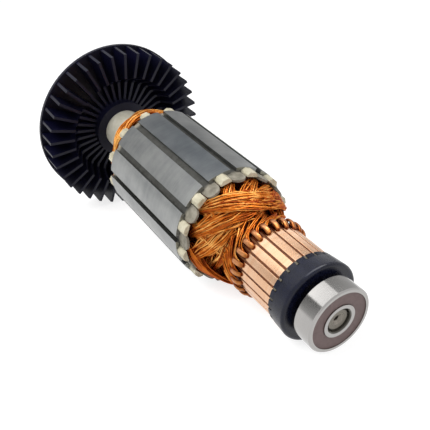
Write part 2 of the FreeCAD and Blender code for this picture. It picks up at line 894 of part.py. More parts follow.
core_edge = math.sqrt(core_outer.value ** 2 - mouth.value ** 2)
tab_middle = math.radians(tooth_angle.value)
tab_edge = tab_outer.value * math.cos(tab_middle) + tab_face.value * math.sin(tab_middle)
blade_angle = math.pi / size("blade_count").value
blade_edge = half("blade_tip_diameter").value * math.cos(blade_angle)
blade_edge = blade_edge + half("blade_thickness").value * math.sin(blade_angle)
core_feet = [
    (core_front.value, core_edge),
    (core_front.value - size("front_tab_height").value, tab_edge),
]
fan_feet = [
    (fan_front.value, blade_edge),
    (disc_front.value, half("fan_diameter").value),
]
slopes = []
for core_foot in core_feet:
    for fan_foot in fan_feet:
        slope = (fan_foot[1] - core_foot[1]) / (fan_foot[0] - core_foot[0])
        clear = True
        for foot in core_feet + fan_feet:
            level = core_foot[1] + slope * (foot[0] - core_foot[0])
            if foot[1] > level + 1e-9:
                clear = False
        if clear:
            slopes.append((math.atan(slope), fan_foot))
tilt, foot = slopes[0]
lift = foot[1] * math.cos(tilt) - foot[0] * math.sin(tilt)
towards_back = FreeCAD.Rotation(FreeCAD.Vector(0, 0, 1), 180)
lean = FreeCAD.Rotation(FreeCAD.Vector(0, 1, 0), math.degrees(tilt))
lowest_end = shaft_rear.value * math.cos(tilt) + (
    half("drive_end_diameter").value - size("drive_end_chamfer").value) * math.sin(tilt)
highest_end = (half("bearing_diameter").value - corner.value) * math.sin(tilt)
middle_of_length = (lowest_end - highest_end) / 2
rest = FreeCAD.Placement(FreeCAD.Vector(middle_of_length, 0, lift), lean.multiply(towards_back))

for body, turn in pieces:
    about_shaft = FreeCAD.Rotation(FreeCAD.Vector(1, 0, 0), turn)
    body.Placement = rest.multiply(FreeCAD.Placement(FreeCAD.Vector(0, 0, 0), about_shaft))

doc.recompute()

# Check every object before anything is written

for thing in doc.Objects:
    if "Invalid" in thing.State or "Error" in thing.State:
        raise RuntimeError("%s failed: %s" % (thing.Name, thing.State))
for body, turn in pieces:
    shape = body.Shape
    if shape.isNull() or not shape.isValid() or not shape.Solids:
        raise RuntimeError("%s has no valid solid" % body.Label)

for body, turn in pieces:
    body.Shape.exportStep("parts/%s.step" % body.Label)
    print(body.Label, len(body.Shape.Solids), round(body.Shape.Volume, 2))
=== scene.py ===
import json
import math

import bpy
import numpy as np
from mathutils import Matrix, Vector


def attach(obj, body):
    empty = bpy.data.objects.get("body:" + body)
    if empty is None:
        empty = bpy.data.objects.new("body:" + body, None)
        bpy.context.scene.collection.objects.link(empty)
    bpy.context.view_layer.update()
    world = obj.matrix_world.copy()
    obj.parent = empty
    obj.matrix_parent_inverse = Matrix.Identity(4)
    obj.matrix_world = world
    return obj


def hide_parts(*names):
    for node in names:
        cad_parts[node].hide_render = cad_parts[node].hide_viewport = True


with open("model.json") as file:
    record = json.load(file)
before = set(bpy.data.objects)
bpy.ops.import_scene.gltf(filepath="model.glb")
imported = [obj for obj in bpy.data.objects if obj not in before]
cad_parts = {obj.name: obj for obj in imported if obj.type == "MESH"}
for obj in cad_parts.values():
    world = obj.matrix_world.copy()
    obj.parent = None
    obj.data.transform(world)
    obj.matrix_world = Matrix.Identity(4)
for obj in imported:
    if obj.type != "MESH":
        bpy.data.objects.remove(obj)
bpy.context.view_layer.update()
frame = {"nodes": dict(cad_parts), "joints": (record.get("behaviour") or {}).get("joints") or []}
scene = bpy.context.scene
print("frame loaded,", len(frame["nodes"]), "nodes")

mm = 0.001

# Places on the armature are given as s, r and angle: millimetres from the
# bearing's face, millimetres from the shaft's axis, and degrees round from the top.
spin = next(joint for joint in frame["joints"] if joint["name"] == "outer_ring_spin")
along = -np.array(spin["axis"], float)
along /= np.linalg.norm(along)
sideways = np.array([0.0, 1.0, 0.0])
above = np.cross(sideways, along)
middle = np.array(spin["pos_m"], float)


def pointsOf(node):
    mesh = frame["nodes"][node].data
    flat = np.empty(len(mesh.vertices) * 3, np.float32)
    mesh.vertices.foreach_get("co", flat)
    return flat.reshape(-1, 3).astype(float)


start = middle + along * ((pointsOf("bearing_outer_ring") - middle) @ along).min()


def spanOf(node):
    # where the node begins and ends along the shaft, in millimetres
    s = (pointsOf(node) - start) / mm @ along
    return {"first": s.min(), "last": s.max()}


def outward(angle):
    # the unit vector that points away from the shaft at each angle
    angle = np.radians(angle)
    return np.cos(angle)[..., None] * above + np.sin(angle)[..., None] * sideways


def place(s, r, angle):
    # start + s * along + r * (cos(angle) * above + sin(angle) * sideways)
    s, r, angle = np.broadcast_arrays(s, r, angle)
    return start + mm * (s[..., None] * along + r[..., None] * outward(angle))


core = spanOf("core_stack")
bars = spanOf("commutator_bar_01")
bearing = spanOf("bearing_outer_ring")
cadShaft = spanOf("shaft")


# The camera stands where the photographer stood, in the shaft's own directions
camera = {
    "along": -95.593, "side": -107.771, "above": 122.252,
    "right": (-0.52968, 0.84691, 0.04676),
    "up": (0.47877, 0.25302, 0.84069),
    "lens": 54.90, "sensor": 36, "clip": (0.01, 20),
}


def shaftVector(parts):
    return parts[0] * along + parts[1] * sideways + parts[2] * above


def unit(vectors):
    return vectors / np.linalg.norm(vectors, axis=-1, keepdims=True)


def addObject(name, data):
    holder = bpy.data.objects.new(name, data)
    scene.collection.objects.link(holder)
    return holder


def makeCamera():
    data = bpy.data.cameras.new("camera")
    data.lens = camera["lens"]
    data.sensor_width = camera["sensor"]
    data.clip_start, data.clip_end = camera["clip"]
    eye = start + mm * shaftVector((camera["along"], camera["side"], camera["above"]))
    right = shaftVector(camera["right"])
    right /= np.linalg.norm(right)
    up = shaftVector(camera["up"])
    up -= right * (up @ right)
    up /= np.linalg.norm(up)
    back = np.cross(right, up)
    matrix = np.eye(4)
    matrix[:3, 0], matrix[:3, 1], matrix[:3, 2], matrix[:3, 3] = right, up, back, eye
    holder = addObject("camera", data)
    holder.matrix_world = Matrix(matrix.tolist())
    scene.camera = holder
    return eye, right, back


eye, viewRight, viewBack = makeCamera()
print("camera set")


# Node helpers

def addNode(tree, kind, inputs=None, **settings):
    node = tree.nodes.new(kind)
    for name, value in settings.items():
        setattr(node, name, value)
    for name, value in (inputs or {}).items():
        socket = node.inputs[name]
        if isinstance(value, bpy.types.NodeSocket):
            tree.links.new(value, socket)
        else:
            socket.default_value = value
    return node


def math2(tree, operation, a, b=0.0):
    return addNode(tree, "ShaderNodeMath", {0: a, 1: b}, operation=operation).outputs[0]


def newGroup(name, inputs, outputs):
    tree = bpy.data.node_groups.new(name, "ShaderNodeTree")
    for label, kind, value in inputs:
        socket = tree.interface.new_socket(label, in_out="INPUT", socket_type=kind)
        socket.default_value = value
    for label, kind in outputs:
        tree.interface.new_socket(label, in_out="OUTPUT", socket_type=kind)
    source = tree.nodes.new("NodeGroupInput")
    sink = tree.nodes.new("NodeGroupOutput")
    return tree, source, sink


def rgb(code):
    # a colour written as six hex digits, made linear
    values = [int(code[i:i + 2], 16) / 255 for i in (0, 2, 4)]
    linear = [v / 12.92 if v <= 0.04045 else ((v + 0.055) / 1.055) ** 2.4 for v in values]
    return (*linear, 1.0)


def ramp(tree, value, stops):
    # stops are positions with the colours' six hex digits
    node = addNode(tree, "ShaderNodeValToRGB", {"Fac": value})
    elements = node.color_ramp.elements
    while len(elements) < len(stops):
        elements.new(0.5)
    for element, (position, code) in zip(elements, stops):
        element.position = position
        element.color = rgb(code)
    return node.outputs["Color"]


def blendColour(tree, factor, first, second, mode="MIX"):
    # by number, as this node has sockets of the same names for numbers and vectors too
    node = addNode(tree, "ShaderNodeMix", {0: factor, 6: first, 7: second},
                   data_type="RGBA", blend_type=mode)
    return node.outputs[2]


def useGroup(tree, group, inputs=None):
    return addNode(tree, "ShaderNodeGroup", inputs, node_tree=group).outputs


def between(tree, value, low, high, first=0.0, last=1.0):
    # the value's way from low to high, carried to the range from first to last
    node = addNode(tree, "ShaderNodeMapRange", {"Value": value, "From Min": low, "From Max": high,
                                                "To Min": first, "To Max": last})
    return node.outputs[0]


# Noise stays mostly within its range. The two ratios slow it down: for the broad rings,
# and on the way round the shaft.
noise = {"range": (0.3, 0.7), "cloudDetail": 3.0, "grainDetail": 2.0, "roughness": 0.55,
         "ringDetail": 2.0, "broadRatio": 0.12, "roundRatio": 0.4}


def spread(tree, value, low, high):
    # noise carried to the range from low to high
    return between(tree, value, *noise["range"], low, high)


def twoShades(tree, value, finish):
    return ramp(tree, value, list(zip(noise["range"], (finish["dark"], finish["light"]))))


def shaftPlaceGroup():
    # Along and Out in millimetres and Round in turns, worked out from Object coordinates
    tree, source, sink = newGroup("shaftPlace", [], [
        ("Along", "NodeSocketFloat"), ("Out", "NodeSocketFloat"), ("Round", "NodeSocketFloat")])
    spot = addNode(tree, "ShaderNodeTexCoord").outputs["Object"]
    away = addNode(tree, "ShaderNodeVectorMath", {0: spot, 1: tuple(start)},
                   operation="SUBTRACT").outputs[0]
    parts = []
    for direction in (along, sideways, above):
        dot = addNode(tree, "ShaderNodeVectorMath",
                      {0: away, 1: tuple(direction / mm)}, operation="DOT_PRODUCT")
        parts.append(dot.outputs["Value"])
    out = math2(tree, "SQRT", math2(tree, "ADD", math2(tree, "POWER", parts[1], 2.0),
                                    math2(tree, "POWER", parts[2], 2.0)))
    angle = math2(tree, "DIVIDE", math2(tree, "ARCTAN2", parts[1], parts[2]), 2 * math.pi)
    tree.links.new(parts[0], sink.inputs["Along"])
    tree.links.new(out, sink.inputs["Out"])
    tree.links.new(angle, sink.inputs["Round"])
    return tree


def mottleGroup():
    # slow cloudy noise and fine grain, both from Object coordinates in millimetres
    tree, source, sink = newGroup("mottle", [
        ("Cloud size", "NodeSocketFloat", 4.0), ("Grain size", "NodeSocketFloat", 0.25)],
        [("Cloud", "NodeSocketFloat"), ("Grain", "NodeSocketFloat")])
    spot = addNode(tree, "ShaderNodeTexCoord").outputs["Object"]
    for label, detail in (("Cloud", noise["cloudDetail"]), ("Grain", noise["grainDetail"])):
        scale = math2(tree, "DIVIDE", 1 / mm, source.outputs[label + " size"])
        cloud = addNode(tree, "ShaderNodeTexNoise",
                        {"Vector": spot, "Scale": scale, "Detail": detail,
                         "Roughness": noise["roughness"]})
        tree.links.new(cloud.outputs["Fac"], sink.inputs[label])
    return tree


def turnedGroup():
    # fine rings left by turning or grinding: noise that changes along and out, not round
    tree, source, sink = newGroup("turned", [("Pitch", "NodeSocketFloat", 0.15)],
                                  [("Rings", "NodeSocketFloat"), ("Broad", "NodeSocketFloat")])
    spot = useGroup(tree, shaftPlace)
    joined = addNode(tree, "ShaderNodeCombineXYZ",
                     {0: spot["Along"], 1: spot["Out"],
                      2: math2(tree, "MULTIPLY", spot["Round"], noise["roundRatio"])}).outputs[0]
    for label, ratio in (("Rings", 1.0), ("Broad", noise["broadRatio"])):
        scale = math2(tree, "DIVIDE", ratio, source.outputs["Pitch"])
        rings = addNode(tree, "ShaderNodeTexNoise",
                        {"Vector": joined, "Scale": scale, "Detail": noise["ringDetail"]})
        tree.links.new(rings.outputs["Fac"], sink.inputs[label])
    return tree


shaftPlace = shaftPlaceGroup()
mottle = mottleGroup()
turned = turnedGroup()


def newMaterial(name, roughness=0.5, metallic=0.0, **sockets):
    material = bpy.data.materials.new(name)
    material.use_nodes = True
    tree = material.node_tree
    shader = tree.nodes["Principled BSDF"]
    shader.inputs["Roughness"].default_value = roughness
    shader.inputs["Metallic"].default_value = metallic
    for label, value in sockets.items():
        shader.inputs[label.replace("_", " ")].default_value = value
    return material, tree, shader


# What a finish has where it says nothing else
usual = {"shine": 0.5, "vary": 0.08}


def surface(tree, shader, shade, pattern, finish, height=None):
    # the colour, roughness that varies with the pattern, and bumps as deep as the finish says
    tree.links.new(shade, shader.inputs["Base Color"])
    vary = finish.get("vary", usual["vary"])
    rough = spread(tree, pattern, finish["roughness"] - vary, finish["roughness"] + vary)
    tree.links.new(rough, shader.inputs["Roughness"])
    if finish["bump"]:
        node = addNode(tree, "ShaderNodeBump",
                       {"Height": pattern if height is None else height,
                        "Strength": finish["bump"], "Distance": finish["depth"] * mm})
        tree.links.new(node.outputs[0], shader.inputs["Normal"])


def mottled(tree, finish):
    return useGroup(tree, mottle, {"Cloud size": finish["cloud"], "Grain size": finish["grain"]})


# Plain mouldings and boards: two close shades in clouds, with a fine grain
plainFinishes = {
    "creamPlastic": {"dark": "a39c84", "light": "c6c0aa", "cloud": 3.0, "grain": 0.22,
                     "roughness": 0.5, "bump": 0.25, "depth": 0.06},
    "sleevePlastic": {"dark": "aba695", "light": "cfccbf", "cloud": 6.0, "grain": 0.3,
                      "roughness": 0.45, "bump": 0.15, "depth": 0.05},
    # the slot liners are painted dark red-brown: the shade in the slots' gaps and under the wires
    "linerPaper": {"dark": "4a2412", "light": "704024", "cloud": 1.5, "grain": 0.15,
                   "roughness": 0.8, "bump": 0.3, "depth": 0.04},
    "wedgeBoard": {"dark": "676256", "light": "8c877a", "cloud": 2.0, "grain": 0.2,
                   "roughness": 0.6, "bump": 0.3, "depth": 0.05},
    "collarPlastic": {"dark": "060918", "light": "0b0f24", "cloud": 2.5, "grain": 0.25,
                      "roughness": 0.26, "bump": 0.06, "depth": 0.03, "shine": 0.35},
    "stripCompound": {"dark": "4a2610", "light": "70401c", "cloud": 1.0, "grain": 0.1,
                      "roughness": 0.6, "bump": 0.2, "depth": 0.03},
    "fanPlastic": {"dark": "060618", "light": "09091f", "cloud": 5.0, "grain": 0.35,
                   "roughness": 0.42, "bump": 0.2, "depth": 0.05, "shine": 0.3},
    # the front sleeve is painted dark red-brown: the shade under the windings
    "shadedSleeve": {"dark": "7c3416", "light": "a85426", "cloud": 2.0, "grain": 0.3,
                     "roughness": 0.5, "bump": 0.15, "depth": 0.05},
    "sealRubber": {"dark": "574543", "light": "624f4d", "cloud": 1.6, "grain": 0.12,
                   "roughness": 0.5, "bump": 0.06, "depth": 0.02},
}


def plainMaterial(name):
    finish = plainFinishes[name]
    material, tree, shader = newMaterial(
        name, finish["roughness"], Specular_IOR_Level=finish.get("shine", usual["shine"]))
    pattern = mottled(tree, finish)
    surface(tree, shader, twoShades(tree, pattern["Cloud"], finish), pattern["Grain"], finish)
    return material


# Bare metals: turned or ground surfaces
metalFinishes = {
    "shaftSteel": {"dark": "7b776d", "light": "a5a196", "pitch": 0.2, "roughness": 0.3,
                   "vary": 0.07, "bump": 0.12, "depth": 0.02},
    "bearingSteel": {"dark": "aeacaa", "light": "b8b6b3", "pitch": 0.6, "roughness": 0.16,
                     "vary": 0.01, "bump": 0.0},
    "cageSteel": {"dark": "98968f", "light": "bdbab2", "pitch": 0.3, "roughness": 0.35,
                  "vary": 0.06, "bump": 0.1, "depth": 0.02},
}


def metalMaterial(name):
    finish = metalFinishes[name]
    material, tree, shader = newMaterial(name, finish["roughness"], 1.0)
    rings = useGroup(tree, turned, {"Pitch": finish["pitch"]})
    surface(tree, shader, twoShades(tree, rings["Broad"], finish), rings["Rings"], finish)
    return material


def marked(name):
    # what it takes to add a mark to a material: its tree, its shader, its colour so far and
    # the place on the shaft
    tree = materials[name].node_tree
    shader = tree.nodes["Principled BSDF"]
    colour = shader.inputs["Base Color"].links[0].from_socket
    return tree, shader, colour, useGroup(tree, shaftPlace)


def repaint(tree, shader, mask, clean, shade, mode="MIX"):
    tree.links.new(blendColour(tree, mask, clean, shade, mode), shader.inputs["Base Color"])


# The shaft's end in the bearing: a centre hole in painted shade, a countersink with a painted
# highlight, a dull face with painted shade at its edge, and the bore of the inner ring in front of
# it, painted dark, partly grease and partly painted shade. Rings begin and end at these radii.
shaftEnd = {
    "depth": 6.0, "reach": 5.0, "bore": (4.25, 4.4), "dullness": 0.8,
    "dark": "1c140e", "bright": "8a8379", "dull": "6c665b", "shade": "4b4841",
    "rings": ((0.85, "dark"), (1.05, "bright"), (1.75, "bright"), (1.85, "dull"),
              (3.2, "dull"), (3.5, "shade")),
}


def dullMetal(tree, shader, mask):
    dull = math2(tree, "MULTIPLY", mask, shaftEnd["dullness"])
    tree.links.new(math2(tree, "SUBTRACT", 1.0, dull), shader.inputs["Metallic"])


def markShaftEnd():
    tree, shader, clean, spot = marked("shaftSteel")
    out = math2(tree, "DIVIDE", spot["Out"], shaftEnd["reach"])
    rings = ramp(tree, out, [(r / shaftEnd["reach"], shaftEnd[shade])
                             for r, shade in shaftEnd["rings"]])
    near = math2(tree, "LESS_THAN", spot["Along"], shaftEnd["depth"])
    # painted shade in the hole and at the face's edge, a painted highlight on the countersink
    repaint(tree, shader, near, clean, rings)
    dullMetal(tree, shader, near)


def markBearingBore():
    tree, shader, clean, spot = marked("bearingSteel")
    inside = between(tree, spot["Out"], *shaftEnd["bore"], 1.0, 0.0)
    # painted shade, with grease, on the bore of the inner ring
    repaint(tree, shader, inside, clean, rgb(shaftEnd["shade"]))
    dullMetal(tree, shader, inside)


# Pressed laminations, seen edge on along the core's teeth
laminations = {"sheet": 0.5, "dark": "8e9090", "light": "acadab", "line": "6c6f72",
               "lineHalf": 0.16, "lineShare": 0.3, "sheetShare": 0.08, "step": 0.2,
               "cloud": 9.0, "grain": 0.4, "roughness": 0.31, "vary": 0.02,
               "bump": 0.12, "depth": 0.03}


def coreMaterial():
    # each sheet has a shade of its own over the clouds, and a line where it meets the next
    material, tree, shader = newMaterial("coreSteel", laminations["roughness"], 1.0)
    sheets = math2(tree, "DIVIDE", useGroup(tree, shaftPlace)["Along"], laminations["sheet"])
    seam = between(tree, math2(tree, "PINGPONG", sheets, 0.5),
                   0.0, laminations["lineHalf"], 1.0, 0.0)
    sheetNoise = addNode(tree, "ShaderNodeTexWhiteNoise", {"W": math2(tree, "FLOOR", sheets)},
                         noise_dimensions="1D").outputs["Value"]
    pattern = mottled(tree, laminations)
    mix = math2(tree, "ADD",
                math2(tree, "MULTIPLY", pattern["Cloud"], 1 - laminations["sheetShare"]),
                math2(tree, "MULTIPLY", sheetNoise, laminations["sheetShare"]))
    line = math2(tree, "MULTIPLY", seam, laminations["lineShare"])
    shade = blendColour(tree, line, twoShades(tree, mix, laminations), rgb(laminations["line"]))
    step = math2(tree, "MULTIPLY", sheetNoise, laminations["step"])
    height = math2(tree, "SUBTRACT", step, seam)
    surface(tree, shader, shade, pattern["Grain"], laminations, height)
    return material


# The strips' compound is painted grey where it fills the end ring's notches: partly dust, partly a
# painted sheen of the saw cuts' lit walls
notchSheenAndDust = {"colour": "605a4d", "behind": 16.38}


def markStrips():
    tree, shader, clean, spot = marked("stripCompound")
    inRing = math2(tree, "LESS_THAN", spot["Along"], notchSheenAndDust["behind"])
    repaint(tree, shader, inRing, clean, rgb(notchSheenAndDust["colour"]))


# The hub's rear end, under the leads, is brown and rougher
hubRear = {"fade": (36.0, 36.6), "colour": "8a4420", "rougher": 0.3}


def markHub():
    tree, shader, clean, spot = marked("collarPlastic")
    rough = shader.inputs["Roughness"].links[0].from_socket
    behind = between(tree, spot["Along"], *hubRear["fade"])
    repaint(tree, shader, behind, clean, rgb(hubRear["colour"]))
    rougher = math2(tree, "MULTIPLY", behind, hubRear["rougher"])
    tree.links.new(math2(tree, "ADD", rough, rougher), shader.inputs["Roughness"])


# Wedges: painted shade in the depth of the slots, lighter where their tongues stand out at the ends
wedges = {"slotShade": "858a92", "fadeInside": 1.0, "fadeOutside": 0.3}


def markWedges():
    tree, shader, clean, spot = marked("wedgeBoard")
    centre = (core["first"] + core["last"]) / 2
    reach = (core["last"] - core["first"]) / 2
    off = math2(tree, "ABSOLUTE", math2(tree, "SUBTRACT", spot["Along"], centre))
    outside = between(tree, off, reach - wedges["fadeInside"], reach + wedges["fadeOutside"])
    # painted shade: the wedge darkened inside the slot
    slotShade = blendColour(tree, 1.0, clean, rgb(wedges["slotShade"]), "MULTIPLY")
    repaint(tree, shader, outside, slotShade, clean)


# Insulators: cream where the tabs stand out, painted dark red-brown behind the wires, where shade
# falls
shadeBehindWires = {"fade": (18.7, 19.2), "colour": "74391c"}


def markInsulators():
    tree, shader, clean, spot = marked("creamPlastic")
    clearOfShade = between(tree, spot["Out"], *shadeBehindWires["fade"])
    # painted shade where the wires cover the insulator
    repaint(tree, shader, clearOfShade, rgb(shadeBehindWires["colour"]), clean)


# Commutator sizes in millimetres and degrees; the hook's middle line is s and r by station
commutator = {
    "bars": 24, "gap": 3.1, "root": 9.5, "face": 12.5, "corner": 0.16,
    "cornerPoints": 4, "facePoints": 5, "edge": 0.12, "edgeShrink": 0.06,
    "stripFace": 12.24, "stripFront": 15.6, "stripCorner": 0.12,
    "stripOverlap": 0.05, "stripDepth": 0.2, "stripShort": 0.3,
    "spotFront": 15.1, "spotRear": 16.35, "spotFace": 12.66, "spotHalf": 1.7,
    "hookWide": 0.86, "hookThick": 0.4, "hookThicker": 1.25, "hookBlunt": (0.85, 0.9),
    "hookVary": 0.04, "hookSeed": 7, "hookSamples": 26, "hookSides": 14,
    "hookS": (34.6, 35.0, 35.1, 35.0, 34.6, 33.9, 33.1, 32.3, 31.7, 31.1, 30.8),
    "hookR": (12.3, 12.7, 13.1, 13.45, 13.7, 13.8, 13.8, 13.62, 13.24, 12.84, 12.6),
    "hookFlare": (0.8, 0.85, 0.9, 0.95, 1.0, 1.0, 1.0, 1.02, 1.08, 1.05, 0.8),
}


# Copper that the brushes run on, darker towards the hooks: partly heat stain, partly a golden band
# that is a painted highlight on the bars' shoulders, then painted shade between the hooks
barFinish = {"dark": "eab892", "light": "f2cbab", "pitch": 0.18,
             "stainGlintAndShade": ((0.0, "eab892"), (0.35, "d89a48"), (0.75, "5a2410")),
             "stainFrom": 29.8, "stainTo": 32.2, "ragged": 1.6, "cloud": 1.6, "grain": 0.2,
             "roughness": 0.255, "vary": 0.015, "bump": 0.01, "depth": 0.02}


def barMaterial():
    material, tree, shader = newMaterial("barCopper", barFinish["roughness"], 1.0)
    rings = useGroup(tree, turned, {"Pitch": barFinish["pitch"]})
    ragged = math2(tree, "MULTIPLY", mottled(tree, barFinish)["Cloud"], barFinish["ragged"])
    edge = math2(tree, "ADD", useGroup(tree, shaftPlace)["Along"], ragged)
    # towards the hooks: heat stain with a painted highlight, then painted shade
    towardsHooks = between(tree, edge, barFinish["stainFrom"] + barFinish["ragged"] / 2,
                   barFinish["stainTo"])
    shade = blendColour(tree, towardsHooks, twoShades(tree, rings["Broad"], barFinish),
                        ramp(tree, towardsHooks, barFinish["stainGlintAndShade"]))
    surface(tree, shader, shade, rings["Rings"], barFinish)
    return material


# Hooks: a painted highlight along the middle of the arch, painted shade at both ends and down the
# sides, and scorch speckles
hookFinish = {
    "reach": (30.5, 35.6), "ragged": 0.7, "flank": (1.9, 4.2), "side": "6e3014", "metal": 0.9,
    "shades": ((0.0, "96532a"), (0.18, "b5743a"), (0.38, "cf8f5f"), (0.62, "cf8f5f"),
               (0.85, "8a4420")),
    "scorch": "5e2410", "scorched": (0.56, 0.7), "scorchShare": 0.5,
    "cloud": 1.4, "grain": 0.2, "roughness": 0.365, "vary": 0.085, "bump": 0.2, "depth": 0.15,
}


def hookMaterial():
    material, tree, shader = newMaterial("hookCopper", hookFinish["roughness"],
                                         hookFinish["metal"])
    spot = useGroup(tree, shaftPlace)
    pattern = mottled(tree, hookFinish)
    ragged = spread(tree, pattern["Cloud"], -hookFinish["ragged"], hookFinish["ragged"])
    ahead = math2(tree, "ADD", spot["Along"], ragged)
    # along the arch: a painted highlight in the middle, painted shade at both ends
    shade = ramp(tree, between(tree, ahead, *hookFinish["reach"]), hookFinish["shades"])
    # degrees from the nearest hook's middle
    turns = math2(tree, "MULTIPLY", spot["Round"], commutator["bars"])
    offMiddle = math2(tree, "MULTIPLY", math2(tree, "PINGPONG", turns, 0.5),
                      360 / commutator["bars"])
    # painted shade down the hook's sides
    flank = between(tree, offMiddle, *hookFinish["flank"])
    shade = blendColour(tree, flank, shade, rgb(hookFinish["side"]))
    scorched = math2(tree, "MULTIPLY", between(tree, pattern["Grain"], *hookFinish["scorched"]),
                     hookFinish["scorchShare"])
    shade = blendColour(tree, scorched, shade, rgb(hookFinish["scorch"]))
    surface(tree, shader, shade, pattern["Grain"], hookFinish, pattern["Cloud"])
    return material


# Enamelled wire: copper under a clear brown varnish, each turn a little different
wireFinish = {"shades": ((0.12, "8c340a"), (0.5, "d07422"), (0.88, "fcc670")), "toneShare": 0.6,
              "metal": 0.85, "graze": "e09a50", "coat": 0.15, "coatRoughness": 0.25,
              "cloud": 3.2, "grain": 0.3, "roughness": 0.335, "vary": 0.085,
              "bump": 0.08, "depth": 0.03}


def wireMaterial():
    material, tree, shader = newMaterial(
        "windingCopper", wireFinish["roughness"], wireFinish["metal"],
        Coat_Weight=wireFinish["coat"], Coat_Roughness=wireFinish["coatRoughness"],
        Specular_Tint=rgb(wireFinish["graze"]))
    tone = addNode(tree, "ShaderNodeAttribute", attribute_name="tone").outputs["Fac"]
    pattern = mottled(tree, wireFinish)
    mix = math2(tree, "ADD", math2(tree, "MULTIPLY", tone, wireFinish["toneShare"]),
                math2(tree, "MULTIPLY", spread(tree, pattern["Cloud"], 0.0, 1.0),
                      1 - wireFinish["toneShare"]))
    surface(tree, shader, ramp(tree, mix, wireFinish["shades"]), pattern["Grain"], wireFinish)
    return material


materials = {name: plainMaterial(name) for name in plainFinishes}
materials.update({name: metalMaterial(name) for name in metalFinishes})
materials["coreSteel"] = coreMaterial()
materials["barCopper"] = barMaterial()
materials["hookCopper"] = hookMaterial()
markShaftEnd()
markBearingBore()
markHub()
markWedges()
markInsulators()
markStrips()
materials["windingCopper"] = wireMaterial()

# The finish of each solid that stays as it is
finishOf = {
    "shaft": "shaftSteel",
    "bearing_inner_ring": "bearingSteel", "bearing_outer_ring": "bearingSteel",
    "bearing_balls": "bearingSteel", "bearing_cage": "cageSteel",
    "bearing_seal": "sealRubber",
    "end_collar": "collarPlastic", "commutator_hub": "collarPlastic",
    "commutator_bar": "barCopper", "core_stack": "coreSteel",
    "end_insulator": "creamPlastic", "slot_liners": "linerPaper", "slot_wedge": "wedgeBoard",
    "coil_pair": "windingCopper", "shaft_sleeve_front": "shadedSleeve",
    "shaft_sleeve_rear": "sleevePlastic", "fan": "fanPlastic",
}
for name, node in frame["nodes"].items():
    kind = max((key for key in finishOf if name.startswith(key)), key=len)
    node.data.materials.clear()
    node.data.materials.append(materials[finishOf[kind]])
print("materials made")


# Mesh helpers

def gridFaces(copies, rows, columns):
    # quads between rows of points, with each row closed on itself
    i, j = np.meshgrid(np.arange(rows - 1), np.arange(columns), indexing="ij")
    after = (j + 1) % columns
    quads = np.stack([i * columns + j, i * columns + after,
                      (i + 1) * columns + after, (i + 1) * columns + j], -1).reshape(1, -1, 4)
    return (quads + np.arange(copies)[:, None, None] * rows * columns).reshape(-1, 4)


def endFaces(copies, rows, columns):
    # the first row closed backwards and the last row closed forwards
    first = np.arange(columns)[::-1][None] + np.arange(copies)[:, None] * rows * columns
    last = np.arange(columns)[None] + ((np.arange(copies) + 1) * rows - 1)[:, None] * columns
    return np.concatenate([first, last])


def sweep(paths, facing, profile):
    # each point of a path, plus the profile's two numbers times the two unit vectors
    # square to the path, the first of them the one nearest to facing
    tangent = unit(np.gradient(paths, axis=1))
    first = unit(facing - (facing * tangent).sum(-1, keepdims=True) * tangent)
    second = np.cross(tangent, first)
    return paths[:, :, None] + mm * (profile[..., 0, None] * first[:, :, None]
                                     + profile[..., 1, None] * second[:, :, None])


def sweepWire(paths, wire):
    # a round wire, with the outward direction from the shaft as its facing
    away = paths - start
    facing = unit(away - (away @ along)[..., None] * along)
    circle = np.linspace(0, 2 * math.pi, wire["sides"], endpoint=False)
    profile = wire["wire"] * np.stack([np.cos(circle), np.sin(circle)], -1)
    return sweep(paths, facing, profile)


def splineWeights(controls, samples):
    # how much of each control point goes into each sample of a clamped cubic B-spline
    knots = np.concatenate([np.zeros(3), np.linspace(0, 1, controls - 2), np.ones(3)])
    t = np.linspace(0, 1, samples)
    t[-1] -= 1e-9  # inside the last span
    weights = ((knots[:-1] <= t[:, None]) & (t[:, None] < knots[1:])).astype(float)
    for degree in (1, 2, 3):
        low, lowTo = knots[:-degree - 1], knots[degree:-1]
        high, highFrom = knots[degree + 1:], knots[1:-degree]
        rising = np.where(lowTo > low, (t[:, None] - low) / np.maximum(lowTo - low, 1e-9), 0)
        falling = np.where(high > highFrom,
                           (high - t[:, None]) / np.maximum(high - highFrom, 1e-9), 0)
        weights = rising * weights[:, :-1] + falling * weights[:, 1:]
    return weights


def pointValues(mesh, name, values):
    # one number at each of the mesh's points, for its material to read
    attribute = mesh.attributes.new(name, "FLOAT", "POINT")
    attribute.data.foreach_set("value", values.astype(np.float32))


def makePiece(name, grid, material, body="rotor", replaces=(), tone=None, smooth=True):
    # grid is copies x rows x columns x 3, each copy a closed tube with ends
    copies, rows, columns = grid.shape[:3]
    faces = gridFaces(copies, rows, columns).tolist() + endFaces(copies, rows, columns).tolist()
    mesh = bpy.data.meshes.new(name)
    mesh.from_pydata(grid.reshape(-1, 3).tolist(), [], faces)
    if smooth:
        mesh.shade_smooth()
    if tone is not None:
        pointValues(mesh, "tone", np.repeat(tone, rows * columns))
    mesh.materials.append(materials[material])
    piece = addObject(name, mesh)
    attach(piece, body)
    if replaces:
        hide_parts(*replaces)
    return piece


# Windings: six pairs of coils, each a bundle of turns that leaves one slot, crosses
# over the end of the core and goes into the fifth slot from it

